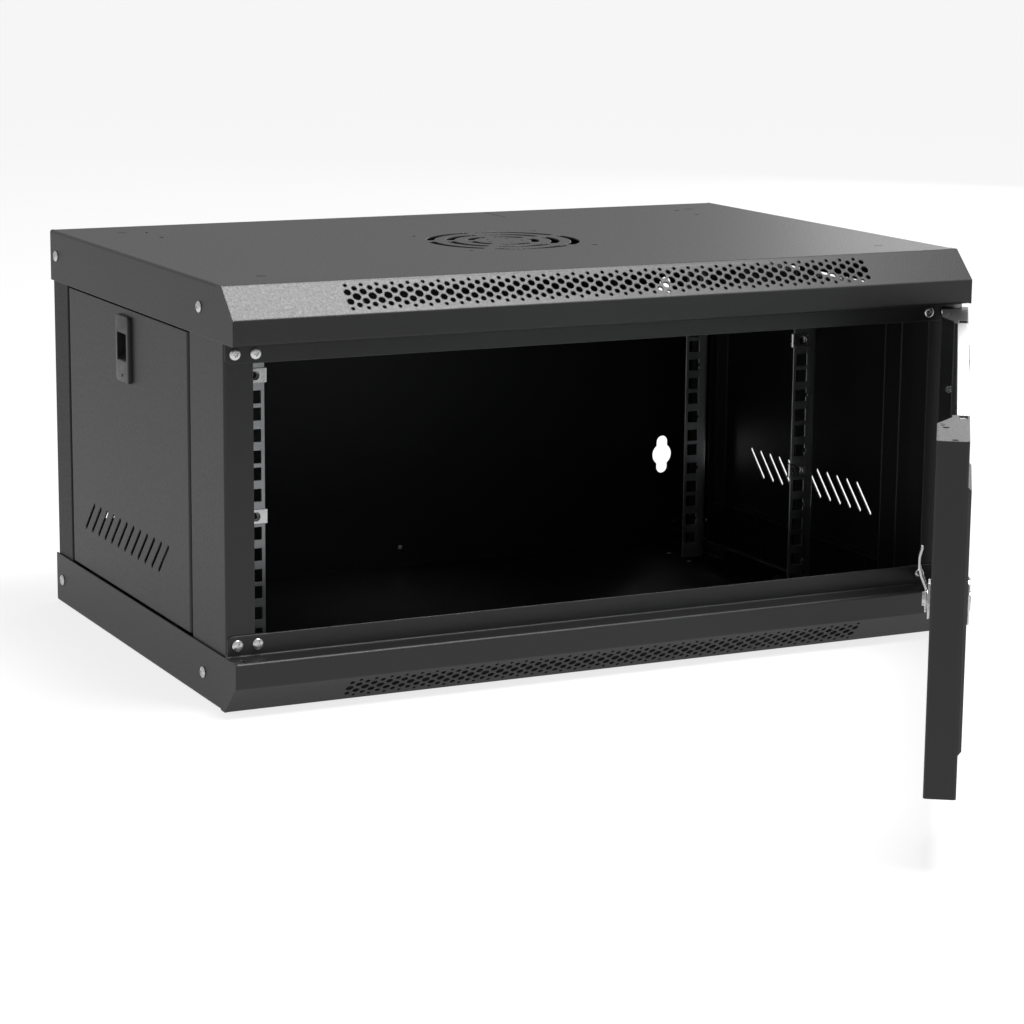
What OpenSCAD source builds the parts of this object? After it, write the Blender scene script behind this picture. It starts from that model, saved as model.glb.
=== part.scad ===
/* [Cabinet] */
// Overall width
cab_w = 600; // [596:1:620]
// Overall depth
cab_d = 400; // [380:5:600]
// Overall height
cab_h = 300; // [298:1:340]
// Height of the covers' side and rear flanges
flange_h = 39.5; // [36:0.5:42]
// Thickness of the painted sheet steel
sheet_t = 1.2; // [1:0.1:1.5]

/* [Front nose] */
// Depth of the slanted face of each cover
slant_d = 22; // [22:0.5:24]
// Height of the slanted face of each cover
slant_h = 21.5; // [21:0.5:23]
// Height of the screwed lip behind the nose
lip_h = 14.8; // [13:0.1:16]
// Holes along each row of the perforated band
perf_count = 36; // [20:1:36]
// Distance between two holes of a row
perf_pitch = 11.83; // [11.5:0.01:11.9]

/* [Rack rails] */
// Rack units on each rail
rack_units = 6; // [4:1:6]
// Distance from the front of the cabinet to the front rails
front_rail_y = 133; // [110:1:140]
// Distance from the front of the cabinet to the rear rails
rear_rail_y = 305; // [280:1:310]
// Height of the rails' lower ends
rail_z0 = 7.5; // [6:0.5:8]

/* [Side panels] */
// Slots in each side panel
slot_count = 12; // [6:1:12]
// Distance between two slots
slot_pitch = 15.25; // [14:0.25:15.5]

/* [Door] */
// Angle at which the door stands open
door_open = 55.5; // [0:0.5:120]
// Height of the door
door_h = 214; // [206:1:215]
// Depth of the door's stiles
stile_d = 19.4; // [18:0.2:19.4]
// Width of the outer face of a stile
stile_w = 91; // [80:1:100]
// Thickness of the glass
glass_t = 5; // [4:0.5:5]
// Height of the lock above the base
lock_z = 154.5; // [120:0.5:180]

/* [Hidden] */

eps = 0.05;
bend_r = 0.8;
bend_steps = 4;
bend_gap = 1;
half_w = cab_w / 2;
nose_h = flange_h;

// Rack standard
rack_unit = 44.45;
hole_step = 15.875;
hole_edge = 6.35;
hole_column_x = 465.1 / 2;
rail_clear_x = 225;
rail_w = 21.5;
rail_flange = 25;
rail_t = 1.5;
rail_tail = 10.65;
square_hole = 9.5;
rail_len = rack_units * rack_unit + 2 * rail_tail;
first_hole_z = rail_z0 + rail_tail + hole_edge;
nut_holes = [6, 13];
clip_t = 0.8;
clip_h = 10.8;
clip_hole_r = 3.4;
clip_reach = 2.4;
clip_nut = 10;
clip_gap = 0.2;
clip_end = 6.5;
nut_bore_r = 2.5;

// Frame
post_x = half_w - sheet_t - 0.3;
post_front = slant_d;
post_rear = 90;
post_face = 21.5;
post_ear = 30.5;
post_return = 16.5;
lip_y = post_front - sheet_t;
back_y = cab_d - sheet_t;
back_return_y = cab_d - 38;
side_screw_z = 19.5;
side_screw_y = [64, cab_d - 15];
lip_screw_x = [half_w - 24.5, half_w - 9.3];
lip_screw_z = 47.5;
back_screw_x = [-268, 0, 268];
back_screw_z = 18.7;
lip_corner_r = 4;

// Pan-head screw
screw_r = 2;
screw_hole_r = 2.15;
head_r = 4.2;
head_h = 2;
flat_head_r = 3.6;
flat_head_h = 1.6;

// Depth beams
beam_x = rail_clear_x + rail_w;
beam_t = 1.5;
beam_h = 19.8;
beam_foot = 15;
beam_y0 = 30;
beam_y1 = cab_d - 10;
rivet_x = beam_x + 8.5;
rivet_y = [62, cab_d - 42];
rivet_r = 4;
rail_screw_z = 13;

// Side panels and latches
panel_y0 = post_rear + 3.3;
panel_y1 = back_return_y - 2;
panel_z0 = flange_h + 1.7;
panel_z1 = cab_h - flange_h - 1.7;
panel_mid = (panel_y0 + panel_y1) / 2;
panel_return = 12;
slot_w = 3.2;
slot_run = 21;
slot_mid_z = 84.5;
slots_forward = 6;
latch_w = 28;
latch_h = 50;
latch_z = panel_z1 - 5 - latch_h / 2;
latch_proud = 3;
latch_window = [20, 21];
latch_window_z = latch_z + 1.5;
latch_box = [10, 24, 46];

// Keyholes for the wall screws
keyhole_x = 255;
keyhole_z = 79.6;
keyhole_r = 9.5;
keyhole_slot_r = 5.5;
keyhole_len = 33.2;

// Fan grille
fan_pitch = 105;
fan_screw_r = 2.25;
fan_rings = [[22, 28.5], [37.5, 44.2], [53, 59.6]];
fan_spokes = 5;
fan_spoke_w = 7;

// Cable entry
entry_w = 156;
entry_d = 40;
entry_y = cab_d - 30;

// Door, measured from the hinge axis with the door closed
axis_x = half_w - 8;
axis_y = 7.5;
door_z0 = cab_h / 2 - door_h / 2;
door_z1 = cab_h / 2 + door_h / 2;
door_out = -8.6;
door_in = door_out + stile_d;
door_end = 4;
door_tip = -2 * axis_x - 4;
stile_inner_w = 60;
stile_flange_y = 0.8;
glass_out = -7.1;
emboss_h = 2;
emboss_z = 27;
glass_x0 = door_tip + stile_w - 12;
glass_x1 = door_end - stile_w + 12;
hinge_pin_r = 2;
hinge_hole_r = 2.05;
lock_x = door_tip + 40;
lock_r = 9.5;
plug_r = 6;
plug_hole_r = 6.05;
nut_h = 1.6;
hub_y = 12.9;
cam_y = 16;
cam_t = 1.3;
cam_len = 31;
rim_h = 1.7;
stud_x = -84.5;
stud_z = 207;
lever_z = door_z1 - 30;
lever_h = 3;
pin_stroke = 10;
spring_r = 2.7;
bracket_z = lever_z - pin_stroke - 10;

// Direction, left-hand normal and rotation in the plane
function unit(v) = v / norm(v);
function left(d) = [-d[1], d[0]];
function turned(v, a) = [v[0] * cos(a) - v[1] * sin(a), v[0] * sin(a) + v[1] * cos(a)];

// One rounded bend at b between a and c: points of the outer face, each with its normal
function bend(a, b, c, t) =
    let(d1 = unit(b - a), d2 = unit(c - b), side = sign(d1[0] * d2[1] - d1[1] * d2[0]),
        turn = acos(d1 * d2), r = side > 0 ? bend_r + t : bend_r,
        start = b - d1 * r * tan(turn / 2), centre = start + left(d1) * r * side)
    [for (j = [0:bend_steps]) let(n = turned(left(d1), side * turn * j / bend_steps))
        [centre - n * r * side, n]];

// The outer face of a folded sheet through the corners p, as points with their normals
function sheet_line(p, t) =
    let(last = len(p) - 1)
    concat([[p[0], left(unit(p[1] - p[0]))]],
        [for (i = [1:1:last - 1]) each bend(p[i - 1], p[i], p[i + 1], t)],
        [[p[last], left(unit(p[last] - p[last - 1]))]]);

// Section of a folded sheet, with its thickness to the left of the corners p
module sheet(p, t = sheet_t) {
    line = sheet_line(p, t);
    polygon(concat([for (q = line) q[0]], [for (i = [len(line) - 1:-1:0]) line[i][0] + line[i][1] * t]));
}

// Extrude a depth-height section across the width, centred
module across(w) {
    translate([-w / 2, 0, 0]) rotate([90, 0, 90]) linear_extrude(w) children();
}

// Extrude a width-height section along the depth
module along_depth(y0, y1) {
    translate([0, y1, 0]) rotate([90, 0, 0]) linear_extrude(y1 - y0) children();
}

// Place a shape whose depth is measured from the front of the cabinet
module in_cabinet() {
    translate([0, -cab_d / 2, 0]) children();
}

module both_sides() {
    children();
    mirror([1, 0, 0]) children();
}

module top_and_bottom() {
    children();
    translate([0, 0, cab_h]) mirror([0, 0, 1]) children();
}

module hole_x(x, y, z, r, l) {
    translate([x - l / 2, y, z]) rotate([0, 90, 0]) cylinder(r = r, h = l, $fn = 32);
}

module hole_y(x, y, z, r, l) {
    translate([x, y + l / 2, z]) rotate([90, 0, 0]) cylinder(r = r, h = l, $fn = 32);
}

module hole_z(x, y, z, r, l) {
    translate([x, y, z - l / 2]) cylinder(r = r, h = l, $fn = 32);
}

// Cross-recess pan-head screw along +X, with its head's underside at the origin
module pan_screw(l) {
    difference() {
        union() {
            rotate([0, 90, 0]) rotate_extrude($fn = 40)
                polygon([[0, 0], [head_r, 0], [head_r, head_h * 0.4],
                    [head_r * 0.87, head_h * 0.75], [head_r * 0.6, head_h], [0, head_h]]);
            translate([-l, 0, 0]) rotate([0, 90, 0]) cylinder(r = screw_r, h = l + eps, $fn = 24);
        }
        translate([head_h - 0.6, -2.3, -0.45]) cube([2, 4.6, 0.9]);
        translate([head_h - 0.6, -0.45, -2.3]) cube([2, 0.9, 4.6]);
    }
}

// Countersunk screw in the back of the cabinet, with its head flush
module flat_screw(x, z, extra = 0) {
    translate([x, cab_d, z]) rotate([90, 0, 0]) {
        cylinder(r1 = flat_head_r + extra, r2 = screw_r + extra, h = flat_head_h, $fn = 32);
        cylinder(r = screw_r + extra, h = 7, $fn = 32);
    }
}

module flat_screw_cut(x, z) {
    flat_screw(x, z, screw_hole_r - screw_r);
}

// ---- Covers ----

perf_rows = [[-10.2, 1.35], [-7.3, 1.95], [-4.1, 2.55], [0, 2.95], [4.1, 2.55], [7.3, 1.95], [10.2, 1.35]];
perf_x0 = -perf_pitch * (perf_count - 0.5) / 2;
perf_depth = 6;

// Punches for the seven rows of holes, square to the slanted face
module perforation() {
    translate([0, slant_d / 2, -slant_h / 2]) rotate([atan2(slant_h, slant_d), 0, 0])
        linear_extrude(perf_depth, center = true)
            for (row = [0:len(perf_rows) - 1], k = [0:perf_count - 1])
                translate([perf_x0 + perf_pitch * (k + (row % 2) / 2), -perf_rows[row][0]])
                    circle(r = perf_rows[row][1], $fn = 16);
}

// Folded cover as on top, with its outer face at height 0
module cover_sheet() {
    nose_end = slant_d + 8;
    rear_edge = cab_d - 4;
    rim_x = half_w - sheet_t / 2;
    lip_x = half_w - 2;
    along_depth(nose_end, rear_edge)
        sheet([[half_w, -flange_h], [half_w, 0], [-half_w, 0], [-half_w, -flange_h]]);
    difference() {
        across(2 * rim_x) sheet([[nose_end, 0], [slant_d, 0], [0, -slant_h], [0, -nose_h],
            [lip_y, -nose_h], [lip_y, -nose_h - lip_h]]);
        both_sides() {
            translate([lip_x, lip_y - 1, -nose_h - lip_h - 1]) cube([4, 4, lip_h - 0.5]);
            translate([lip_x - lip_corner_r, lip_y - 1, -nose_h - lip_h]) rotate([-90, 0, 0])
                linear_extrude(4) difference() {
                    translate([0, -lip_corner_r]) square(lip_corner_r + 1);
                    translate([0, -lip_corner_r]) circle(r = lip_corner_r, $fn = 32);
                }
        }
        perforation();
    }
    across(cab_w - 5) sheet([[cab_d, -flange_h], [cab_d, 0], [rear_edge, 0]]);
    both_sides() {
        along_depth(rear_edge, cab_d) sheet([[half_w, -flange_h], [half_w, 0], [half_w - 3, 0]]);
        translate([half_w - sheet_t, 0, 0]) rotate([90, 0, 90]) linear_extrude(sheet_t)
            polygon([[0, -slant_h], [slant_d, 0], [nose_end, 0], [nose_end, -nose_h], [0, -nose_h]]);
    }
}

// Holes that both covers have, seen as on top
module cover_holes() {
    both_sides() {
        for (y = side_screw_y) hole_x(half_w, y, -side_screw_z, screw_hole_r, 6);
        for (x = lip_screw_x) hole_y(x, lip_y, -lip_screw_z, screw_hole_r, 6);
        for (y = rivet_y) hole_z(rivet_x, y, 0, rivet_r + 0.05, 6);
        hole_z(axis_x, axis_y, -nose_h, hinge_hole_r, 6);
        for (y = [cab_d - 84, cab_d - 49]) hole_z(238, y, 0, 2.5, 6);
    }
    for (x = back_screw_x) flat_screw_cut(x, -back_screw_z);
}

// Curved fan slot between the radii r0 and r1 with round ends, leaving half a spoke at each end
module ring_slot(r0, r1) {
    mid = (r0 + r1) / 2;
    half = (r1 - r0) / 2;
    a = 180 / fan_spokes - (half + fan_spoke_w / 2) / mid * 180 / PI;
    intersection() {
        difference() {
            circle(r = r1, $fn = 96);
            circle(r = r0, $fn = 96);
        }
        polygon([[0, 0], 100 * [cos(a), -sin(a)], [130, 0], 100 * [cos(a), sin(a)]]);
    }
    for (s = [-a, a]) translate(mid * [cos(s), sin(s)]) circle(r = half - 0.1, $fn = 24);
}

module fan_grille() {
    for (k = [0:fan_spokes - 1]) rotate(54 + k * 360 / fan_spokes) {
        for (ring = fan_rings) ring_slot(ring[0], ring[1]);
        translate([14, 0]) circle(r = 1.8, $fn = 20);
    }
    for (x = [-1, 1], y = [-1, 1]) translate([x, y] * fan_pitch / 2) circle(r = fan_screw_r, $fn = 24);
}

module top_cover() {
    color([0.12, 0.12, 0.13]) translate([0, 0, cab_h]) in_cabinet() difference() {
        cover_sheet();
        cover_holes();
        translate([0, cab_d / 2, -3]) linear_extrude(6) fan_grille();
        translate([0, entry_y, -3]) linear_extrude(6) rounded_box(entry_w, entry_d, 5);
    }
}

module rounded_box(w, d, r) {
    difference() {
        translate([-w / 2, -d / 2]) square([w, d]);
        for (x = [-1, 1], y = [-1, 1]) translate([x * (w / 2 - r), y * (d / 2 - r)]) difference() {
            translate([x > 0 ? 0 : -r - 1, y > 0 ? 0 : -r - 1]) square(r + 1);
            circle(r = r, $fn = 32);
        }
    }
}

module bottom_cover() {
    color([0.12, 0.12, 0.13]) in_cabinet() rotate([0, 180, 0]) difference() {
        cover_sheet();
        cover_holes();
    }
}

// Blanking plate under the cable entry: a flange below the cover and a raised middle that fills the cut
module top_entry_plate() {
    color([0.13, 0.13, 0.14]) translate([0, entry_y, cab_h]) in_cabinet() {
        translate([0, 0, -2 * sheet_t]) linear_extrude(sheet_t) rounded_box(entry_w + 14, entry_d + 14, 6);
        translate([0, 0, -sheet_t - eps]) linear_extrude(sheet_t - 0.1)
            rounded_box(entry_w - 0.6, entry_d - 0.6, 5);
    }
}

// ---- Frame ----

// Double-ended keyhole in the back
module keyhole(x, z) {
    hole_y(x, back_y, z, keyhole_r, 8);
    half = keyhole_len / 2 - keyhole_slot_r;
    for (s = [-1, 1]) hole_y(x, back_y, z + s * half, keyhole_slot_r, 8);
    translate([x - keyhole_slot_r, back_y - 4, z - half]) cube([2 * keyhole_slot_r, 8, 2 * half]);
}

module back_panel() {
    inner_x = post_x - post_return;
    color([0.10, 0.10, 0.11]) in_cabinet() difference() {
        translate([0, 0, sheet_t + bend_gap]) linear_extrude(cab_h - 2 * (sheet_t + bend_gap))
            sheet([[inner_x, back_return_y], [post_x, back_return_y], [post_x, back_y], [-post_x, back_y],
                [-post_x, back_return_y], [-inner_x, back_return_y]]);
        top_and_bottom() {
            both_sides() {
                keyhole(keyhole_x, keyhole_z);
                hole_x(post_x, side_screw_y[1], side_screw_z, screw_hole_r, 6);
            }
            for (x = back_screw_x) flat_screw_cut(x, back_screw_z);
        }
    }
}

// Folded front post, as on the right
module post() {
    difference() {
        translate([0, 0, sheet_t + bend_gap]) linear_extrude(cab_h - 2 * (sheet_t + bend_gap))
            sheet([[post_x - post_ear, post_front], [post_x, post_front], [post_x, post_rear],
                [post_x - post_return, post_rear]]);
        translate([post_x - post_ear - 1, post_front - 1, nose_h + lip_h])
            cube([post_ear - post_face + 1, 4, cab_h - 2 * (nose_h + lip_h)]);
        top_and_bottom() {
            hole_x(post_x, side_screw_y[0], side_screw_z, screw_hole_r, 6);
            for (x = lip_screw_x) hole_y(x, post_front, lip_screw_z, screw_hole_r, 6);
        }
    }
}

module left_post() {
    color([0.11, 0.11, 0.12]) in_cabinet() mirror([1, 0, 0]) post();
}

module right_post() {
    color([0.11, 0.11, 0.12]) in_cabinet() post();
}

// ---- Side panels ----

// Slanted ventilation slot with round ends, from its lower end
module slant_slot() {
    length = slot_run * sqrt(2);
    rotate([-45, 0, 0]) rotate([0, 90, 0]) linear_extrude(8, center = true) {
        for (x = [0, length]) translate([-x, 0]) circle(r = slot_w / 2, $fn = 16);
        translate([-length, -slot_w / 2]) square([length, slot_w]);
    }
}

// Side panel as on the right; its slots' tops lean towards the back
module side_panel() {
    inner_x = post_x - panel_return;
    slots_y0 = panel_mid - slots_forward - (slot_pitch * (slot_count - 1) + slot_run) / 2;
    difference() {
        union() {
            translate([0, 0, panel_z0]) linear_extrude(panel_z1 - panel_z0)
                sheet([[inner_x, panel_y0], [post_x, panel_y0], [post_x, panel_y1], [inner_x, panel_y1]]);
            for (z = [panel_z0, panel_z1 - sheet_t]) translate([inner_x, panel_y0 + sheet_t / 2, z])
                cube([panel_return - sheet_t / 2, panel_y1 - panel_y0 - sheet_t, sheet_t]);
            for (y = [panel_mid - 87, panel_mid + 87]) translate([post_x - 3.5, y - 12, panel_z0 - 11])
                cube([sheet_t, 24, 12]);
        }
        for (k = [0:slot_count - 1])
            translate([post_x, slots_y0 + k * slot_pitch, slot_mid_z - slot_run / 2])
                slant_slot();
        translate([post_x - 4, panel_mid - latch_box[1] / 2 - 0.2, latch_z - latch_box[2] / 2 - 0.2])
            cube([8, latch_box[1] + 0.4, latch_box[2] + 0.4]);
        translate([inner_x - 1, panel_mid - 14, panel_z1 - 3])
            cube([panel_return - 1, 28, 6]);
    }
}

// Moulded latch housing as for side_panel, with its finger recess
module latch_body() {
    box_x = post_x - latch_box[0];
    wall = 1.5;
    difference() {
        union() {
            translate([post_x, panel_mid, latch_z]) rotate([90, 0, 90])
                linear_extrude(latch_proud) rounded_box(latch_w, latch_h, 3);
            translate([box_x, panel_mid - latch_box[1] / 2, latch_z - latch_box[2] / 2])
                cube([latch_box[0] + eps, latch_box[1], latch_box[2]]);
        }
        translate([box_x + wall, panel_mid - latch_window[0] / 2, latch_window_z - latch_window[1] / 2])
            cube([20, latch_window[0], latch_window[1]]);
        translate([box_x + wall, panel_mid - latch_window[0] / 2, latch_window_z])
            cube([4, latch_window[0], 40]);
        hole_x(post_x + latch_proud, panel_mid, latch_z - latch_h / 2 + 5, 1.6, 4);
    }
}

// Latch slider as for side_panel: thumb pad in the recess and tongue behind the cover's flange
module latch_slider() {
    x = post_x - latch_box[0] + 1.8;
    pad_z = latch_window_z + latch_window[1] / 2 - 13;
    translate([x, panel_mid - 9.7, pad_z]) cube([3.2, 19.4, 13]);
    translate([x + 3, panel_mid - 9.7, pad_z + 11]) cube([2.5, 19.4, 1.8]);
    translate([x, panel_mid - 7, pad_z + 12]) cube([3.2, 14, panel_z1 + 7 - pad_z - 12]);
}

// The left parts are the right ones turned half a turn about the middle of the panel
module turned_to_left() {
    translate([0, 2 * panel_mid, 0]) rotate([0, 0, 180]) children();
}

// Both panels are the same pressing, so on the left the slots lean towards the front
module left_panel() {
    color([0.11, 0.11, 0.12]) in_cabinet() turned_to_left() side_panel();
}

module right_panel() {
    color([0.11, 0.11, 0.12]) in_cabinet() side_panel();
}

module left_latch_body() {
    color([0.06, 0.06, 0.06]) in_cabinet() turned_to_left() latch_body();
}

module right_latch_body() {
    color([0.06, 0.06, 0.06]) in_cabinet() latch_body();
}

module left_latch_slider() {
    color([0.08, 0.08, 0.08]) in_cabinet() turned_to_left() latch_slider();
}

module right_latch_slider() {
    color([0.08, 0.08, 0.08]) in_cabinet() latch_slider();
}

// ---- Depth beams and rack rails ----

// Depth beam as at the bottom right, slotted so that the rails can be set forward or back
module beam() {
    difference() {
        along_depth(beam_y0, beam_y1) sheet([[beam_x, sheet_t + beam_h], [beam_x, sheet_t],
            [beam_x + beam_foot, sheet_t]], beam_t);
        for (y = [front_rail_y, rear_rail_y]) {
            translate([beam_x - 1, y - 30, rail_screw_z - 2.6]) cube([4, 85, 5.2]);
            for (e = [y - 30, y + 55]) hole_x(beam_x, e, rail_screw_z, 2.6, 6);
        }
        for (y = rivet_y) hole_z(rivet_x, y, sheet_t, screw_hole_r, 6);
    }
}

module bottom_left_beam() {
    color([0.10, 0.10, 0.11]) in_cabinet() mirror([1, 0, 0]) beam();
}

module bottom_right_beam() {
    color([0.10, 0.10, 0.11]) in_cabinet() beam();
}

module top_left_beam() {
    color([0.10, 0.10, 0.11]) in_cabinet() translate([0, 0, cab_h]) mirror([0, 0, 1]) mirror([1, 0, 0]) beam();
}

module top_right_beam() {
    color([0.10, 0.10, 0.11]) in_cabinet() translate([0, 0, cab_h]) mirror([0, 0, 1]) beam();
}

// Flush rivets that hold the beams to the covers
module beam_rivets() {
    color([0.13, 0.13, 0.14]) in_cabinet() top_and_bottom() both_sides() for (y = rivet_y)
        translate([rivet_x, y, 0]) {
            cylinder(r = rivet_r, h = sheet_t, $fn = 32);
            cylinder(r = screw_r, h = sheet_t + beam_t + 1, $fn = 24);
            translate([0, 0, sheet_t + beam_t]) cylinder(r = 3.2, h = 1, $fn = 24);
        }
}

// Height of hole n, counted from the lowest, at the standard uneven steps
function rail_hole_z(n) = first_hole_z + floor(n / 3) * rack_unit + (n % 3) * hole_step;

// Rack rail as on the right, with its face at depth y
module rail(y) {
    notch = 1.6;
    difference() {
        translate([0, 0, rail_z0]) linear_extrude(rail_len)
            sheet([[rail_clear_x, y], [rail_clear_x + rail_w, y], [rail_clear_x + rail_w, y + rail_flange]], rail_t);
        for (n = [0:3 * rack_units - 1]) {
            translate([hole_column_x - square_hole / 2, y - 1, rail_hole_z(n) - square_hole / 2])
                cube([square_hole, 4, square_hole]);
            if (n % 3 == 1)
                hole_y(hole_column_x + square_hole / 2, y, rail_hole_z(n), notch, 4);
        }
        for (z = [rail_screw_z, cab_h - rail_screw_z])
            hole_x(beam_x, y + rail_flange / 2, z, screw_hole_r, 6);
    }
}

module front_left_rail() {
    color([0.62, 0.63, 0.64]) in_cabinet() mirror([1, 0, 0]) rail(front_rail_y);
}

module front_right_rail() {
    color([0.62, 0.63, 0.64]) in_cabinet() rail(front_rail_y);
}

module rear_left_rail() {
    color([0.62, 0.63, 0.64]) in_cabinet() mirror([1, 0, 0]) rail(rear_rail_y);
}

module rear_right_rail() {
    color([0.62, 0.63, 0.64]) in_cabinet() rail(rear_rail_y);
}

module rail_screws() {
    color([0.72, 0.72, 0.73]) in_cabinet() top_and_bottom() both_sides() for (y = [front_rail_y, rear_rail_y])
        translate([beam_x + beam_t, y + rail_flange / 2, rail_screw_z]) pan_screw(7);
}

// Places a shape at every clip nut, with the rail's front face at depth 0
module at_nuts() {
    in_cabinet() both_sides() for (n = nut_holes)
        translate([hole_column_x, front_rail_y, rail_hole_z(n)]) children();
}

// Spring clip folded over the rail's free edge, with the screw's hole in both leaves
module nut_clips() {
    bend_x = rail_clear_x - clip_reach - hole_column_x;
    back_y = rail_t + clip_gap + clip_t;
    color([0.70, 0.70, 0.72]) at_nuts() difference() {
        translate([0, 0, -clip_h / 2]) linear_extrude(clip_h)
            sheet([[clip_end, back_y], [bend_x, back_y], [bend_x, -clip_t], [clip_end, -clip_t]], clip_t);
        hole_y(0, 0, 0, clip_hole_r, 20);
    }
}

// Square nut behind each clip, with a neck in the back leaf's hole and a collar behind
module clip_nuts() {
    nut_y = rail_t + clip_gap + clip_t;
    color([0.75, 0.75, 0.76]) at_nuts() difference() {
        union() {
            translate([0, rail_t + clip_gap, 0]) rotate([-90, 0, 0]) cylinder(r = clip_hole_r - 0.1, h = 7, $fn = 32);
            translate([-clip_nut / 2, nut_y, -clip_nut / 2]) cube([clip_nut, 3, clip_nut]);
        }
        hole_y(0, nut_y, 0, nut_bore_r, 20);
    }
}

// ---- Screws ----

module cover_side_screws() {
    color([0.75, 0.75, 0.76]) in_cabinet() top_and_bottom() both_sides() for (y = side_screw_y)
        translate([half_w, y, side_screw_z]) pan_screw(7);
}

module front_lip_screws() {
    color([0.75, 0.75, 0.76]) in_cabinet() top_and_bottom() both_sides() for (x = lip_screw_x)
        translate([x, lip_y, lip_screw_z]) rotate([0, 0, -90]) pan_screw(7);
}

module back_screws() {
    color([0.75, 0.75, 0.76]) in_cabinet() top_and_bottom() for (x = back_screw_x) difference() {
        flat_screw(x, back_screw_z);
        translate([x - 2, cab_d - 0.8, back_screw_z - 0.4]) cube([4, 2, 0.8]);
        translate([x - 0.4, cab_d - 0.8, back_screw_z - 2]) cube([0.8, 2, 4]);
    }
}

// ---- Door ----

// Place a shape drawn about the hinge axis with the door closed at the angle where it stands
module in_door() {
    in_cabinet() translate([axis_x, axis_y, 0]) rotate([0, 0, door_open]) children();
}

stile_section = [[-stile_w, door_out], [0, door_out], [0, door_in], [-stile_inner_w, door_in],
    [-stile_w + 8, stile_flange_y + sheet_t], [-stile_w, stile_flange_y + sheet_t]];

// Raised flat field of a stile's face, with all its edges sloped at 45 degrees
module emboss() {
    x0 = -stile_w + 4;
    z0 = door_z0 + emboss_z;
    z1 = door_z1 - emboss_z;
    y = door_out;
    intersection() {
        translate([0, 0, z0]) linear_extrude(z1 - z0) polygon([[x0, y + 0.5], [x0, y],
            [x0 + emboss_h, y - emboss_h], [-emboss_h - 0.5, y - emboss_h], [-0.5, y], [-0.5, y + 0.5]]);
        translate([x0 - 1, 0, 0]) rotate([90, 0, 90]) linear_extrude(stile_w) polygon([[y + 0.5, z0], [y, z0],
            [y - emboss_h, z0 + emboss_h], [y - emboss_h, z1 - emboss_h], [y, z1], [y + 0.5, z1]]);
    }
}

// Folded stile with its closed end at x = 0, its end caps and its raised field
module stile() {
    height = door_z1 - door_z0;
    difference() {
        union() {
            translate([0, 0, door_z0]) linear_extrude(height) sheet(stile_section);
            for (z = [door_z0, door_z1 - sheet_t]) translate([0, 0, z]) linear_extrude(sheet_t)
                polygon([[-stile_w, door_out + sheet_t / 2], [-sheet_t / 2, door_out + sheet_t / 2],
                    [-sheet_t / 2, door_in - sheet_t / 2], [-stile_inner_w, door_in - sheet_t / 2],
                    [-stile_w + 10, stile_flange_y + sheet_t / 2], [-stile_w, stile_flange_y + sheet_t / 2]]);
            emboss();
        }
        translate([-stile_w - 1, glass_out - 0.15, door_z0 - 1]) cube([13.4, glass_t + 0.3, height + 2]);
        hole_z(-door_end, 0, cab_h / 2, hinge_hole_r, height + 10);
        for (z = [door_z0, door_z1]) {
            hole_z(-46, 5.5, z, 2.2, 6);
            for (x = [-58, -53]) translate([x, 6.2, z - 3]) cube([1.6, 2.6, 6]);
        }
    }
}

module hinge_stile() {
    slot_h = pin_stroke + lever_h + 1;
    color([0.13, 0.13, 0.14]) in_door() difference() {
        translate([door_end, 0, 0]) stile();
        translate([door_end - 3, -1.8, lever_z + lever_h + 0.5 - slot_h]) cube([6, 3.6, slot_h]);
        hole_y(stud_x, stile_flange_y, stud_z, 2.05, 4);
    }
}

module free_stile() {
    color([0.13, 0.13, 0.14]) in_door() difference() {
        translate([door_tip, 0, 0]) mirror([1, 0, 0]) stile();
        hole_y(lock_x, 0, lock_z, lock_r + 0.1, 60);
    }
}

module glass_pane() {
    color([0.75, 0.82, 0.80, 0.3]) in_door() translate([glass_x0, glass_out, door_z0 + 1])
        cube([glass_x1 - glass_x0, glass_t, door_h - 2]);
}

// Rubber strips between the glass and the stiles
module glass_seals() {
    out_gap = glass_out - (door_out + sheet_t);
    in_gap = stile_flange_y - (glass_out + glass_t);
    color([0.05, 0.05, 0.05]) in_door() for (x = [glass_x0 + 1, glass_x1 - 11]) {
        translate([x, door_out + sheet_t, door_z0 + 2]) cube([10, out_gap, door_h - 4]);
        translate([x, glass_out + glass_t, door_z0 + 2]) cube([10, in_gap, door_h - 4]);
    }
}

// Channel along a free edge of the glass, as at the top
module glass_channel() {
    x0 = door_tip + stile_w + 0.5;
    x1 = door_end - stile_w - 0.5;
    wall = 1.3;
    translate([x1, 0, 0]) rotate([90, 0, -90]) linear_extrude(x1 - x0) difference() {
        translate([-glass_out - glass_t - wall, door_z1 - 12]) square([glass_t + 2 * wall, 12]);
        translate([-glass_out - glass_t, door_z1 - 14]) square([glass_t, 13]);
    }
}

module top_glass_rail() {
    color([0.72, 0.73, 0.74]) in_door() glass_channel();
}

module bottom_glass_rail() {
    color([0.72, 0.73, 0.74]) in_door() translate([0, 0, cab_h]) mirror([0, 0, 1]) glass_channel();
}

// Sprung upper pin, with the lever that pulls it down through the slot in the stile's edge
module upper_hinge_pin() {
    color([0.70, 0.70, 0.72]) in_door() {
        translate([0, 0, bracket_z - 3]) cylinder(r = hinge_pin_r, h = door_z1 + 10 - bracket_z + 3, $fn = 32);
        translate([0, -1.2, lever_z]) cube([door_end + 1.5, 2.4, lever_h]);
        translate([0, 0, lever_z]) cylinder(r = spring_r, h = lever_h, $fn = 32);
    }
}

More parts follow.
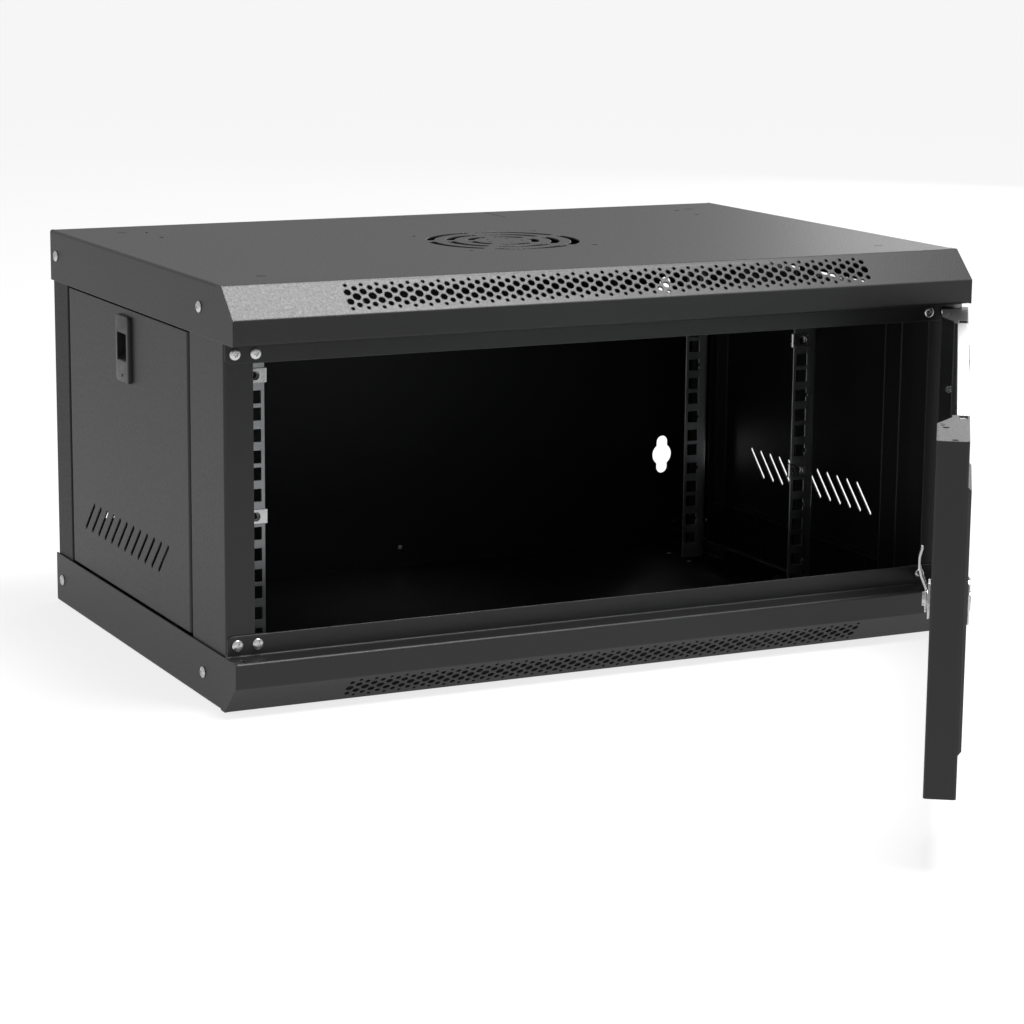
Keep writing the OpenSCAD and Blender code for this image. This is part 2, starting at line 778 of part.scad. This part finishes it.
// Compression spring between the bracket and the pin's lever
module pin_spring() {
    color([0.75, 0.75, 0.76]) in_door() difference() {
        translate([0, 0, bracket_z + 1.5]) cylinder(r = spring_r, h = lever_z - bracket_z - 1.5, $fn = 32);
        hole_z(0, 0, bracket_z, hinge_hole_r + 0.05, 60);
    }
}

// Bracket in the hinge stile that carries the spring and guides the upper pin's tail
module pin_bracket() {
    bracket_l = 14 + door_end - sheet_t - bend_gap;
    color([0.66, 0.66, 0.68]) in_door() difference() {
        translate([-14, door_out + sheet_t, bracket_z]) {
            cube([bracket_l, stile_d - 2 * sheet_t, 1.5]);
            cube([bracket_l, 1.5, 14]);
        }
        hole_z(0, 0, bracket_z, hinge_hole_r, 10);
    }
}

module lower_hinge_pin() {
    color([0.70, 0.70, 0.72]) in_door() {
        translate([0, 0, door_z0 - 9]) cylinder(r = hinge_pin_r, h = 9 + sheet_t + 2, $fn = 32);
        translate([0, 0, door_z0 + sheet_t]) cylinder(r = spring_r, h = 2, $fn = 32);
    }
}

// Nylon washers that carry the door and keep it clear of the covers
module hinge_washers() {
    gap = door_z0 - nose_h;
    color([0.85, 0.85, 0.82]) in_door() top_and_bottom() difference() {
        translate([0, 0, nose_h + 0.3]) cylinder(r = 3.8, h = gap - 0.3, $fn = 32);
        hole_z(0, 0, nose_h, hinge_hole_r, 20);
    }
}

// Lock housing through the free stile, with an oval rim outside
module lock_body() {
    rim_y = door_out - emboss_h;
    color([0.66, 0.67, 0.68]) in_door() difference() {
        union() {
            translate([lock_x, rim_y, lock_z]) rotate([90, 0, 0]) linear_extrude(rim_h) rounded_box(22, 29, 10);
            translate([lock_x, rim_y - eps, lock_z]) rotate([-90, 0, 0])
                cylinder(r = lock_r, h = hub_y - 0.3 - rim_y, $fn = 48);
        }
        hole_y(lock_x, 0, lock_z, plug_hole_r, 60);
    }
}

module lock_nut() {
    color([0.70, 0.70, 0.72]) in_door() difference() {
        translate([lock_x, door_in + 0.05, lock_z]) rotate([-90, 0, 0]) cylinder(r = 12.5, h = nut_h, $fn = 6);
        hole_y(lock_x, door_in, lock_z, lock_r + 0.05, 12);
    }
}

// Key plug, with its keyway in the outer end and a square tail for the cam
module lock_plug() {
    front_y = door_out - emboss_h - rim_h - 0.6;
    color([0.78, 0.78, 0.80]) in_door() difference() {
        union() {
            translate([lock_x, front_y, lock_z]) rotate([-90, 0, 0])
                cylinder(r = plug_r, h = hub_y - front_y, $fn = 40);
            translate([lock_x - 3, hub_y - 1, lock_z - 3]) cube([6, cam_t + 1, 6]);
        }
        translate([lock_x - 0.7, front_y - 1, lock_z - 3.5]) cube([1.4, 5, 7]);
        hole_y(lock_x, hub_y, lock_z, 1.5, 12);
    }
}

// Bent locking cam, standing up when the lock is open: flat hub, crank and bowed tip
module lock_cam() {
    hub_end = lock_z + 7.5;
    tip = lock_z + cam_len;
    color([0.74, 0.74, 0.76]) in_door() difference() {
        union() {
            translate([lock_x, hub_y, lock_z]) rotate([-90, 0, 0]) cylinder(r = 8, h = cam_t, $fn = 40);
            translate([lock_x - 6, 0, 0]) rotate([90, 0, 90]) linear_extrude(12)
                sheet([[cam_y, tip], [cam_y + 1.3, tip - 5], [cam_y + 1.3, tip - 11], [cam_y, tip - 16],
                    [hub_y, hub_end], [hub_y, lock_z]], cam_t);
        }
        translate([lock_x - 3.05, hub_y - 1, lock_z - 3.05]) cube([6.1, 4, 6.1]);
    }
}

module lock_cam_screw() {
    color([0.75, 0.75, 0.76]) in_door() difference() {
        translate([lock_x, hub_y + cam_t, lock_z]) rotate([-90, 0, 0]) {
            cylinder(r = 4.2, h = 1.5, $fn = 32);
            translate([0, 0, -6]) cylinder(r = 1.5, h = 6 + eps, $fn = 24);
        }
        translate([lock_x - 0.5, hub_y + cam_t + 0.8, lock_z - 3]) cube([1, 2, 6]);
    }
}

// Threaded stud for the earth lead, with its washer and nut, on the hinge stile's flange
module earth_stud() {
    base_y = stile_flange_y + sheet_t;
    color([0.30, 0.30, 0.31]) in_door() translate([stud_x, base_y, stud_z]) rotate([-90, 0, 0]) {
        translate([0, 0, -sheet_t]) cylinder(r = 2, h = sheet_t + 4.2, $fn = 24);
        cylinder(r = 3.2, h = 0.5, $fn = 32);
        translate([0, 0, 0.5]) cylinder(r = 2.9, h = 2.6, $fn = 6);
    }
}

top_cover();
bottom_cover();
top_entry_plate();
back_panel();
left_post();
right_post();
left_panel();
right_panel();
left_latch_body();
right_latch_body();
left_latch_slider();
right_latch_slider();
bottom_left_beam();
bottom_right_beam();
top_left_beam();
top_right_beam();
beam_rivets();
front_left_rail();
front_right_rail();
rear_left_rail();
rear_right_rail();
rail_screws();
nut_clips();
clip_nuts();
cover_side_screws();
front_lip_screws();
back_screws();
hinge_stile();
free_stile();
glass_pane();
glass_seals();
top_glass_rail();
bottom_glass_rail();
upper_hinge_pin();
pin_spring();
pin_bracket();
lower_hinge_pin();
hinge_washers();
lock_body();
lock_nut();
lock_plug();
lock_cam();
lock_cam_screw();
earth_stud();
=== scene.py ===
import math

import bmesh
import bpy
from mathutils import Matrix, Vector


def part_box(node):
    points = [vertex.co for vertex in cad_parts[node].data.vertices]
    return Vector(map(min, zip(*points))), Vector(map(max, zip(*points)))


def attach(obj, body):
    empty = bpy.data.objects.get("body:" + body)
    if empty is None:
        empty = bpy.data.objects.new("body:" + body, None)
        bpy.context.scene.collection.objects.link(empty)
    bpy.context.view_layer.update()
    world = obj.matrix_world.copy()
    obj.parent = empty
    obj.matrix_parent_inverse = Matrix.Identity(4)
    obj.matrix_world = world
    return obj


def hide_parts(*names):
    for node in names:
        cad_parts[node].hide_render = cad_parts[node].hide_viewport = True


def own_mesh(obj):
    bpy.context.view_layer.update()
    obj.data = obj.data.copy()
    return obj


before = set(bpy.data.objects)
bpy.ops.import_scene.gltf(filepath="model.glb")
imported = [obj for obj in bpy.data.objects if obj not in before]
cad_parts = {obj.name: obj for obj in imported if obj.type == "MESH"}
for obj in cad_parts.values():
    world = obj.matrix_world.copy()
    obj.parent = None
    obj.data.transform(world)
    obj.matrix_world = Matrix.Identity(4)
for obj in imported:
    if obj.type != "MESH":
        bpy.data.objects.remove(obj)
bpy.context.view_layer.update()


# ---- Folded sheet steel: covers, frame, panels and stiles ----
# Cold-rolled sheet, cut, punched and folded, then sprayed with black powder
# and baked. The film is thick, so edges are soft, its face has a fine
# orange-peel grain, and it is thinner where it wraps an edge. Each edge is
# painted a lighter grey, partly for that thinner film and partly as a
# painted highlight along the fold.

def shader(name):
    material = bpy.data.materials.new(name)
    material.use_nodes = True
    nodes = material.node_tree.nodes
    return material, nodes, material.node_tree.links, nodes["Principled BSDF"]


def object_noise(nodes, links, scale, detail=3.0, roughness=0.5, stretch=(1, 1, 1)):
    place = nodes.new("ShaderNodeTexCoord")
    mapping = nodes.new("ShaderNodeMapping")
    mapping.inputs["Scale"].default_value = stretch
    links.new(place.outputs["Object"], mapping.inputs["Vector"])
    noise = nodes.new("ShaderNodeTexNoise")
    noise.inputs["Scale"].default_value = scale
    noise.inputs["Detail"].default_value = detail
    noise.inputs["Roughness"].default_value = roughness
    links.new(mapping.outputs["Vector"], noise.inputs["Vector"])
    return noise.outputs["Fac"]


def between(nodes, links, fac, low, high, fac_low=0.0, fac_high=1.0):
    spread = nodes.new("ShaderNodeMapRange")
    spread.inputs["From Min"].default_value = fac_low
    spread.inputs["From Max"].default_value = fac_high
    spread.inputs["To Min"].default_value = low
    spread.inputs["To Max"].default_value = high
    links.new(fac, spread.inputs["Value"])
    return spread.outputs["Result"]


def tint(nodes, links, fac, dark, light):
    mix = nodes.new("ShaderNodeMix")
    mix.data_type = "RGBA"
    for socket, colour in (("A", dark), ("B", light)):
        if isinstance(colour, tuple):
            mix.inputs[socket].default_value = (*colour, 1)
        else:
            links.new(colour, mix.inputs[socket])
    links.new(fac, mix.inputs["Factor"])
    return mix.outputs["Result"]


# How far the rounded normal leans from the face's own: an edge, and flat sheet
edge_turned = 0.86
edge_flat = 0.99


def folded_edge(nodes, links, reach, most):
    rounded = nodes.new("ShaderNodeBevel")
    rounded.samples = 4
    rounded.inputs["Radius"].default_value = reach
    face = nodes.new("ShaderNodeNewGeometry")
    turn = nodes.new("ShaderNodeVectorMath")
    turn.operation = "DOT_PRODUCT"
    links.new(rounded.outputs["Normal"], turn.inputs[0])
    links.new(face.outputs["Normal"], turn.inputs[1])
    return between(nodes, links, turn.outputs["Value"], most, 0.0, edge_turned, edge_flat)


def bumped(nodes, links, bsdf, fac, strength, distance, edge=0.0):
    bump = nodes.new("ShaderNodeBump")
    bump.inputs["Strength"].default_value = strength
    bump.inputs["Distance"].default_value = distance
    links.new(fac, bump.inputs["Height"])
    if edge:
        rounded = nodes.new("ShaderNodeBevel")
        rounded.samples = 4
        rounded.inputs["Radius"].default_value = edge
        links.new(rounded.outputs["Normal"], bump.inputs["Normal"])
    links.new(bump.outputs["Normal"], bsdf.inputs["Normal"])


coat_bend_radius = 0.0012
coat_peel_depth = 0.0002
# Lighter grey for folded edges: partly thinner coat, partly a painted highlight
edge_wear_and_highlight = (0.055, 0.055, 0.057)


def powder_coat(name, dark, light, rough_low, rough_high, grain, gloss):
    material, nodes, links, bsdf = shader(name)
    cloud = tint(nodes, links, object_noise(nodes, links, 14, 4), dark, light)
    # Edges painted towards the lighter grey: partly thinner coat, partly a painted highlight
    edge = folded_edge(nodes, links, coat_bend_radius, 0.5)
    links.new(tint(nodes, links, edge, cloud, edge_wear_and_highlight), bsdf.inputs["Base Color"])
    patches = object_noise(nodes, links, 500, 3, 0.7)
    links.new(between(nodes, links, patches, rough_low, rough_high, 0.3, 0.7), bsdf.inputs["Roughness"])
    bsdf.inputs["Specular IOR Level"].default_value = gloss
    peel = object_noise(nodes, links, 700, 2, 0.6)
    bumped(nodes, links, bsdf, peel, grain, coat_peel_depth, coat_bend_radius)
    return material


def finish_in(material, names):
    for name in names:
        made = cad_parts[name]
        made.data.materials.clear()
        made.data.materials.append(material)


coat = powder_coat("black powder coat", dark=(0.009, 0.009, 0.010), light=(0.013, 0.013, 0.014),
                   rough_low=0.38, rough_high=0.48, grain=0.5, gloss=0.5)
finish_in(coat, ("top_cover", "bottom_cover", "top_entry_plate", "left_post", "right_post", "left_panel",
                 "right_panel", "hinge_stile", "free_stile"))

# A darker, less glossy copy of the same coat for the parts inside the cabinet: painted shade of the interior
interior_shade_coat = powder_coat("black powder coat, painted shade inside", dark=(0.004, 0.004, 0.005), light=(0.006, 0.006, 0.007),
                         rough_low=0.40, rough_high=0.50, grain=0.4, gloss=0.22)
finish_in(interior_shade_coat, ("back_panel", "bottom_left_beam", "bottom_right_beam", "top_left_beam",
                       "top_right_beam", "beam_rivets"))


# ---- Rack rails ----
# Roll-formed zinc-plated steel, punched with square holes. The plating shows
# the steel as a cool grey with streaks along the strip it was rolled from.

# Near-white for the edges of zinc and nickel parts: a painted highlight
edge_highlight_colour = (0.85, 0.85, 0.86)


def zinc(name, dark, light, rough_low, rough_high, streak, edge):
    material, nodes, links, bsdf = shader(name)
    bsdf.inputs["Metallic"].default_value = 1.0
    cloud = tint(nodes, links, object_noise(nodes, links, 45, 6, 0.65, streak), dark, light)
    # Edges and hole rims painted towards near-white: a painted highlight
    highlit_edge = folded_edge(nodes, links, edge, 0.7)
    links.new(tint(nodes, links, highlit_edge, cloud, edge_highlight_colour), bsdf.inputs["Base Color"])
    patches = object_noise(nodes, links, 90, 4, 0.5, streak)
    links.new(between(nodes, links, patches, rough_low, rough_high, 0.3, 0.7), bsdf.inputs["Roughness"])
    bumped(nodes, links, bsdf, object_noise(nodes, links, 700, 2), 0.15, 0.0002, edge)
    return material


def softened(name, width):
    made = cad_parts[name]
    weld = made.modifiers.new("weld", "WELD")
    weld.merge_threshold = 0.00001
    bevel = made.modifiers.new("edge", "BEVEL")
    bevel.width = width
    bevel.segments = 2
    bevel.limit_method = "ANGLE"
    bevel.angle_limit = math.radians(40)


along_the_rail = (1, 1, 0.12)
no_streaks = (1, 1, 1)
rail_zinc = zinc("zinc plated rail", (0.20, 0.21, 0.22), (0.40, 0.41, 0.42), 0.26, 0.44, along_the_rail,
                 0.0005)
rails = ("front_left_rail", "front_right_rail", "rear_left_rail", "rear_right_rail")
finish_in(rail_zinc, rails)
for name in rails:
    softened(name, 0.0004)


# ---- Clip nuts and small fittings ----
# Spring steel and turned parts, bright zinc plated, with edges rounded by
# tumbling.

bright_zinc = zinc("bright zinc", (0.50, 0.50, 0.51), (0.76, 0.76, 0.77), 0.16, 0.32, no_streaks, 0.0003)
fittings = ("rail_screws", "nut_clips", "clip_nuts", "back_screws", "upper_hinge_pin", "pin_bracket",
            "lower_hinge_pin", "lock_nut", "lock_cam", "lock_cam_screw", "lock_plug")
finish_in(bright_zinc, fittings)
for name in ("nut_clips", "clip_nuts", "upper_hinge_pin", "lower_hinge_pin", "lock_nut", "lock_cam",
             "pin_bracket"):
    softened(name, 0.0002)

dark_zinc = zinc("dark zinc", (0.05, 0.05, 0.05), (0.09, 0.09, 0.09), 0.2, 0.35, no_streaks, 0.0003)
finish_in(dark_zinc, ("earth_stud",))
softened("earth_stud", 0.0002)


# ---- Pan-head screws of the covers ----
# Cold-headed steel machine screws, bright zinc plated, with a domed head and
# a cross recess punched into it. Each was driven home at its own angle.

def turned_on_lathe(profile, steps):
    turned = bmesh.new()
    verts = [turned.verts.new((r, 0, z)) for r, z in profile]
    edges = [turned.edges.new(pair) for pair in zip(verts, verts[1:])]
    bmesh.ops.spin(turned, geom=verts + edges, cent=(0, 0, 0), axis=(0, 0, 1), angle=2 * math.pi,
                   steps=steps, use_merge=True)
    bmesh.ops.remove_doubles(turned, verts=turned.verts, dist=1e-7)
    bmesh.ops.recalc_face_normals(turned, faces=turned.faces)
    return turned


def punched(blank, punch):
    pair = []
    for name, shape in (("blank", blank), ("punch", punch)):
        data = bpy.data.meshes.new(name)
        shape.to_mesh(data)
        shape.free()
        pair.append(bpy.data.objects.new(name, data))
        bpy.context.scene.collection.objects.link(pair[-1])
    cut = pair[0].modifiers.new("cut", "BOOLEAN")
    cut.operation = "DIFFERENCE"
    cut.solver = "EXACT"
    cut.object = pair[1]
    result = bmesh.new()
    result.from_object(pair[0], bpy.context.evaluated_depsgraph_get())
    for spare in pair:
        bpy.data.objects.remove(spare)
    return result


def cross_punch(width, reach, depth, top):
    punch = bmesh.new()
    bmesh.ops.create_cube(punch, size=1)
    bmesh.ops.scale(punch, verts=punch.verts, vec=(width, width, depth * 2))
    arms = [f for f in punch.faces if abs(f.normal.z) < 0.5]
    for side in bmesh.ops.extrude_discrete_faces(punch, faces=arms)["faces"]:
        bmesh.ops.translate(punch, verts=side.verts, vec=side.normal * (reach - width / 2))
        low = [v for v in side.verts if v.co.z < 0]
        bmesh.ops.translate(punch, verts=low, vec=-side.normal * (reach - width / 2) * 0.6)
    bmesh.ops.translate(punch, verts=punch.verts, vec=(0, 0, top))
    bmesh.ops.recalc_face_normals(punch, faces=punch.faces)
    return punch


def solids(node):
    merged = bmesh.new()
    merged.from_mesh(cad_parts[node].data)
    bmesh.ops.remove_doubles(merged, verts=merged.verts, dist=1e-6)
    merged.verts.index_update()
    seen = set()
    boxes = []
    for first in merged.verts:
        if first.index in seen:
            continue
        seen.add(first.index)
        open_ends = [first]
        low, high = first.co.copy(), first.co.copy()
        while open_ends:
            vert = open_ends.pop()
            low = Vector(map(min, low, vert.co))
            high = Vector(map(max, high, vert.co))
            for edge in vert.link_edges:
                other = edge.other_vert(vert)
                if other.index not in seen:
                    seen.add(other.index)
                    open_ends.append(other)
        boxes.append((low, high))
    merged.free()
    return boxes


def set_in_place(master, places):
    together = bmesh.new()
    for place in places:
        copy = master.copy()
        bmesh.ops.transform(copy, matrix=place, verts=copy.verts)
        data = bpy.data.meshes.new("copy")
        copy.to_mesh(data)
        copy.free()
        together.from_mesh(data)
        bpy.data.meshes.remove(data)
    return together


def made_piece(name, mesh, body, material, stands_for, sharp=35):
    data = bpy.data.meshes.new(name)
    mesh.to_mesh(data)
    mesh.free()
    data.polygons.foreach_set("use_smooth", [True] * len(data.polygons))
    data.set_sharp_from_angle(angle=math.radians(sharp))
    data.materials.append(material)
    made = bpy.data.objects.new(name, data)
    bpy.context.scene.collection.objects.link(made)
    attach(made, body)
    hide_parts(stands_for)
    return made


head_top = 0.0021
seat_depth = 0.002
screw_profile = [(0, -0.007), (0.0015, -0.007), (0.002, -0.0065), (0.002, 0), (0.0040, 0), (0.0042, 0.0002),
                 (0.0042, 0.0006), (0.0041, 0.0010), (0.0037, 0.0014), (0.0030, 0.00175), (0.0020, 0.0020),
                 (0.0010, head_top), (0, head_top)]
screw = punched(turned_on_lathe(screw_profile, 32), cross_punch(0.0009, 0.0024, 0.0011, head_top))

screw_zinc = zinc("screw zinc", (0.62, 0.62, 0.62), (0.82, 0.82, 0.83), 0.2, 0.34, no_streaks, 0.0002)
side_places = []
for k, (low, high) in enumerate(solids("cover_side_screws")):
    side = 1 if high.x > 0 else -1
    seat = (high.x if side > 0 else low.x) - side * seat_depth
    side_places.append(Matrix.Translation((seat, (low.y + high.y) / 2, (low.z + high.z) / 2))
                       @ Matrix.Rotation(side * math.pi / 2, 4, "Y")
                       @ Matrix.Rotation(k * 0.9 + 0.4, 4, "Z"))
made_piece("side_screws", set_in_place(screw, side_places), "cabinet", screw_zinc,
           "cover_side_screws")
lip_places = []
for k, (low, high) in enumerate(solids("front_lip_screws")):
    lip_places.append(Matrix.Translation(((low.x + high.x) / 2, low.y + seat_depth, (low.z + high.z) / 2))
                      @ Matrix.Rotation(math.pi / 2, 4, "X") @ Matrix.Rotation(k * 1.3 + 0.2, 4, "Z"))
made_piece("lip_screws", set_in_place(screw, lip_places), "cabinet", screw_zinc,
           "front_lip_screws")
screw.free()


# ---- Panel latches ----
# Injection-moulded housings snapped into the side panels: a plate proud of
# the panel with a finger recess that has a sloped ledge at its foot, over a
# box that guides the sprung slider.

def moulded(name, dark, light, rough_low, rough_high):
    material, nodes, links, bsdf = shader(name)
    cloud = tint(nodes, links, object_noise(nodes, links, 40), dark, light)
    # Edges painted towards a fixed grey: a painted highlight on the dark plastic and rubber; on the pale
    # nylon it darkens the edges instead
    links.new(tint(nodes, links, folded_edge(nodes, links, 0.0006, 0.5), cloud, (0.05, 0.05, 0.05)),
              bsdf.inputs["Base Color"])
    links.new(between(nodes, links, object_noise(nodes, links, 150), rough_low, rough_high, 0.3, 0.7),
              bsdf.inputs["Roughness"])
    bumped(nodes, links, bsdf, object_noise(nodes, links, 1500, 2), 0.2, 0.0001, 0.0005)
    return material


def block(low, high, radius=0.0, segments=3, along=None):
    shape = bmesh.new()
    bmesh.ops.create_cube(shape, size=1)
    bmesh.ops.scale(shape, verts=shape.verts, vec=[b - a for a, b in zip(low, high)])
    bmesh.ops.translate(shape, verts=shape.verts, vec=[(a + b) / 2 for a, b in zip(low, high)])
    if radius:
        edges = [e for e in shape.edges
                 if along is None or abs((e.verts[1].co - e.verts[0].co).normalized()[along]) > 0.9]
        bmesh.ops.bevel(shape, geom=edges, offset=radius, segments=segments, profile=0.5, material=-1,
                        affect="EDGES")
    return shape


def added(first, second):
    data = bpy.data.meshes.new("added")
    second.to_mesh(data)
    second.free()
    first.from_mesh(data)
    bpy.data.meshes.remove(data)
    return first


plate_proud = 0.003
window_half = 0.0105
recess_half = 0.010
back_wall = 0.0015

latch_plastic = moulded("black plastic", (0.012, 0.012, 0.012), (0.018, 0.018, 0.018), 0.3, 0.4)
for side, name in ((-1, "left"), (1, "right")):
    low, high = (Vector(corner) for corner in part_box(name + "_latch_body"))
    out = high.x if side > 0 else low.x
    inner = low.x if side > 0 else high.x
    skin = out - side * plate_proud
    body_depth = abs(skin - inner)
    mid_y, mid_z = (low.y + high.y) / 2, (low.z + high.z) / 2
    window_z = mid_z + 0.0015

    def across_skin(depth_0, depth_1):
        return sorted((skin - side * depth_0, skin - side * depth_1))

    face = across_skin(-plate_proud, 0.0)
    plate = block((face[0], low.y, low.z), (face[1], high.y, high.z), 0.003, 5, 0)
    rim = [e for e in plate.edges if all(abs(v.co.x - out) < 1e-6 for v in e.verts)]
    bmesh.ops.bevel(plate, geom=rim, offset=0.0008, segments=3, profile=0.5, material=-1, affect="EDGES")
    reach = across_skin(-0.004, 0.001)
    opening = block((reach[0], mid_y - recess_half, window_z - window_half),
                    (reach[1], mid_y + recess_half, window_z + window_half), 0.0008, 2, 0)
    plate = punched(plate, opening)

    depth = across_skin(0.0, body_depth)
    box = block((depth[0], mid_y - 0.012, mid_z - 0.023), (depth[1], mid_y + 0.012, mid_z + 0.023), 0.0008, 2)
    hollow = across_skin(-0.002, body_depth - back_wall)
    box = punched(box, block((hollow[0], mid_y - recess_half, window_z - window_half),
                             (hollow[1], mid_y + recess_half, window_z + window_half)))
    slit = across_skin(body_depth - 0.0055, body_depth - back_wall)
    box = punched(box, block((slit[0], mid_y - recess_half, window_z),
                             (slit[1], mid_y + recess_half, window_z + 0.040)))

    ledge_x = across_skin(-0.0026, 0.0042)
    ledge = block((ledge_x[0], mid_y - 0.0101, window_z - 0.0106),
                  (ledge_x[1], mid_y + 0.0101, window_z - 0.0065))
    for v in ledge.verts:
        if v.co.z > window_z - 0.008 and abs(v.co.x - out) < 0.002:
            v.co.z = window_z - 0.0102

    pip = turned_on_lathe([(0, 0), (0.0012, 0), (0.0012, 0.0003), (0.0008, 0.0005), (0, 0.0005)], 16)
    pip_place = Matrix.Translation((out - side * 0.0001, mid_y, low.z + 0.005))
    bmesh.ops.transform(pip, verts=pip.verts, matrix=pip_place @ Matrix.Rotation(side * math.pi / 2, 4, "Y"))

    housing = added(added(added(plate, box), ledge), pip)
    bmesh.ops.recalc_face_normals(housing, faces=housing.faces)
    made_piece(name + "_latch_housing", housing, "cabinet", latch_plastic,
               name + "_latch_body")
finish_in(latch_plastic, ("left_latch_slider", "right_latch_slider"))
for name in ("left_latch_slider", "right_latch_slider"):
    softened(name, 0.0006)


# ---- Hinge spring and washers ----
# A coil of spring wire round the upper hinge pin, between its bracket and
# lever, and nylon washers that carry the door.

low, high = (Vector(corner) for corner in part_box("pin_spring"))
foot = ((low.x + high.x) / 2, (low.y + high.y) / 2, low.z)
wire = 0.0003
turns = 9
rise = (high.z - low.z - 2 * wire) / turns
coil = bmesh.new()
ring = bmesh.ops.create_circle(coil, cap_ends=False, segments=8, radius=wire)["verts"]
bmesh.ops.transform(coil, verts=ring, matrix=Matrix.Translation(((high.x - low.x) / 2 - wire, 0, wire))
                    @ Matrix.Rotation(math.pi / 2, 4, "X"))
bmesh.ops.spin(coil, geom=coil.verts[:] + coil.edges[:], cent=(0, 0, 0), axis=(0, 0, 1),
               dvec=(0, 0, rise / 24), angle=2 * math.pi * turns, steps=24 * turns, use_merge=False)
bmesh.ops.holes_fill(coil, edges=[e for e in coil.edges if e.is_boundary], sides=8)
bmesh.ops.recalc_face_normals(coil, faces=coil.faces)
bmesh.ops.translate(coil, verts=coil.verts, vec=foot)
spring = made_piece("hinge_spring", coil, "door", bright_zinc, "pin_spring")
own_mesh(spring)

nylon = moulded("nylon", (0.62, 0.62, 0.58), (0.72, 0.72, 0.68), 0.4, 0.5)
finish_in(nylon, ("hinge_washers",))
softened("hinge_washers", 0.0003)


# ---- Glass, its channels and seals ----
# A clear tempered pane with ground edges, held by black rubber between the
# stiles and by a bright drawn channel along its top and bottom edges.

glass, nodes, links, bsdf = shader("clear glass")
links.new(tint(nodes, links, object_noise(nodes, links, 8), (0.85, 0.915, 0.895), (0.88, 0.93, 0.915)),
          bsdf.inputs["Base Color"])
bsdf.inputs["Transmission Weight"].default_value = 1.0
bsdf.inputs["IOR"].default_value = 1.5
bsdf.inputs["Roughness"].default_value = 0.0
finish_in(glass, ("glass_pane",))
softened("glass_pane", 0.0004)

along_the_channel = (0.1, 0.1, 1)
channel_metal = zinc("bright channel", (0.66, 0.67, 0.68), (0.86, 0.86, 0.87), 0.22, 0.4, along_the_channel,
                     0.0003)
finish_in(channel_metal, ("top_glass_rail", "bottom_glass_rail"))
for name in ("top_glass_rail", "bottom_glass_rail"):
    softened(name, 0.0003)

rubber = moulded("black rubber", (0.010, 0.010, 0.010), (0.016, 0.016, 0.016), 0.6, 0.75)
finish_in(rubber, ("glass_seals",))
softened("glass_seals", 0.0002)


# ---- Lock ----
# A die-cast housing with an oval rim, nickel plated, whose plug turns a bent
# steel cam behind the left post.

nickel = zinc("nickel plate", (0.58, 0.57, 0.56), (0.74, 0.73, 0.72), 0.12, 0.22, no_streaks, 0.0004)
finish_in(nickel, ("lock_body", "lock_plug"))
softened("lock_body", 0.0006)


# ---- Floor, light and camera ----
# A white light table, with soft light all round and two softboxes. The table
# and the backdrop look brighter than the light they give.

floor_mesh = bmesh.new()
bmesh.ops.create_grid(floor_mesh, x_segments=1, y_segments=1, size=40)
bmesh.ops.translate(floor_mesh, verts=floor_mesh.verts, vec=(0, 0, -0.0005))
floor_data = bpy.data.meshes.new("floor")
floor_mesh.to_mesh(floor_data)
floor_mesh.free()
floor = bpy.data.objects.new("floor", floor_data)
bpy.context.scene.collection.objects.link(floor)
paper, nodes, links, bsdf = shader("white table")
bsdf.inputs["Base Color"].default_value = (0.25, 0.25, 0.25, 1)
bsdf.inputs["Roughness"].default_value = 0.9
bsdf.inputs["Specular IOR Level"].default_value = 0.1
bsdf.inputs["Emission Color"].default_value = (1, 1, 1, 1)
table_gives, table_looks = 0.5, 0.78
seen = nodes.new("ShaderNodeLightPath")
links.new(between(nodes, links, seen.outputs["Is Camera Ray"], table_gives, table_looks),
          bsdf.inputs["Emission Strength"])
floor_data.materials.append(paper)

world = bpy.data.worlds.new("studio")
world.use_nodes = True
backdrop = world.node_tree.nodes["Background"]
backdrop.inputs["Color"].default_value = (1, 1, 1, 1)
backdrop_gives, backdrop_looks = 0.5, 1.04
nodes, links = world.node_tree.nodes, world.node_tree.links
seen = nodes.new("ShaderNodeLightPath")
links.new(between(nodes, links, seen.outputs["Is Camera Ray"], backdrop_gives, backdrop_looks),
          backdrop.inputs["Strength"])
bpy.context.scene.world = world
bpy.context.scene.view_settings.view_transform = "Standard"


def softbox(name, place, aim, size, power):
    light = bpy.data.lights.new(name, "AREA")
    light.shape = "RECTANGLE"
    light.size, light.size_y = size
    light.energy = power
    lamp = bpy.data.objects.new(name, light)
    lamp.location = place
    lamp.rotation_euler = (Vector(aim) - Vector(place)).to_track_quat("-Z", "Y").to_euler()
    bpy.context.scene.collection.objects.link(lamp)


softbox("overhead", (0.45, -0.55, 2.2), (0, -0.2, 0.3), (1.1, 0.9), 66)
softbox("behind", (2.8, 2.5, 0.9), (0.2, 0, 0.3), (1.7, 1.3), 16)

turned_right, looking_down, tilted = 0.4589, 0.2015, 0.0096
view_direction = Vector((math.sin(turned_right) * math.cos(looking_down),
                         math.cos(turned_right) * math.cos(looking_down), -math.sin(looking_down)))
camera_data = bpy.data.cameras.new("camera")
camera_data.sensor_width = 36
camera_data.lens = 3014.6 / 1024 * 36
camera_data.clip_start, camera_data.clip_end = 0.1, 200
camera = bpy.data.objects.new("camera", camera_data)
turn = view_direction.to_track_quat("-Z", "Y").to_matrix().to_4x4() @ Matrix.Rotation(tilted, 4, "Z")
camera.matrix_world = Matrix.Translation((-1.02319, -2.09163, 0.56111)) @ turn
bpy.context.scene.collection.objects.link(camera)
bpy.context.scene.camera = camera
